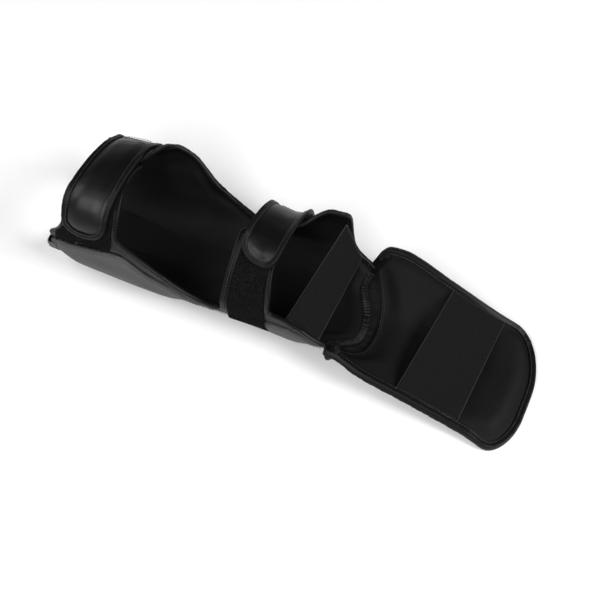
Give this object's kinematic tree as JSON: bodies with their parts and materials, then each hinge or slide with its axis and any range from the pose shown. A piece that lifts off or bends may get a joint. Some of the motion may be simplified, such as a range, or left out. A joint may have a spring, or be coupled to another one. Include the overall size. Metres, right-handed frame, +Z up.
{
  "type": "shin and instep guard",
  "caption": "Padded shin and instep guard lying on its front: deep trough, wings with fastened straps, elastics across heel and foot.",
  "frame": {"origin": "middle of the guard's box, at the surface that it lies on", "axes": "+X from the knee end to the toe end, +Y across the leg to the side where the straps are sewn, +Z up out of the hollow"},
  "size_m": [0.5796, 0.158, 0.1619],
  "materials": {
    "shell_leather": "matte grey, fine grain",
    "lining_leather": "smooth black, semi-matte",
    "edge_tape": "black bias tape with a satin sheen",
    "loop_fabric": "black fuzzy loop fabric",
    "strap_leather": "glossy black",
    "woven_elastic": "dark grey ribbed elastic"
  },
  "bodies": {
    "root": {"shin_pad": "shell_leather", "shin_wrap": "lining_leather", "near_edge_binding": "edge_tape", "far_edge_binding": "edge_tape", "knee_end_binding": "shell_leather", "hem_binding": "edge_tape", "calf_loop_patch": "loop_fabric", "ankle_loop_patch": "loop_fabric", "calf_strap": "strap_leather", "calf_strap_binding": "edge_tape", "ankle_strap": "strap_leather", "ankle_strap_binding": "edge_tape", "heel_elastic": "woven_elastic", "ankle_gusset": "lining_leather", "instep_pad": "shell_leather", "instep_lining": "lining_leather", "instep_binding": "edge_tape", "instep_elastic": "woven_elastic"}
  },
  "joints": []
}
